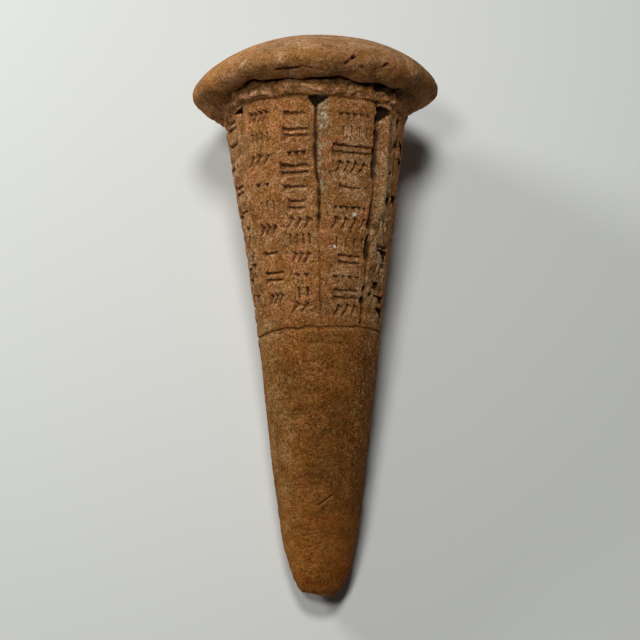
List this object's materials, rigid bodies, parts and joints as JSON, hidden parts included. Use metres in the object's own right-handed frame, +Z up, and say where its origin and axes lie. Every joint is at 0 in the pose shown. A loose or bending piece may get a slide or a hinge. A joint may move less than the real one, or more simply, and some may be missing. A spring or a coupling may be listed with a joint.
{
  "type": "clay foundation cone",
  "caption": "Fired-clay foundation cone: a tapering peg with a domed mushroom head, ruled writing columns round its upper half and a plain lower shaft with a broken tip.",
  "frame": {"origin": "middle of the bounding box on the plane that the cone lies on", "axes": "+Y along the cone from tip to head, +Z up, +X to the right when looking from the tip to the head"},
  "size_m": [0.058, 0.1294, 0.0566],
  "materials": {
    "fired_clay": "matt, unglazed buff-brown fired clay with sandy grain, soil in the strokes and pale lime deposit in the rules"
  },
  "bodies": {
    "root": {"clay_cone": "fired_clay"}
  },
  "joints": []
}
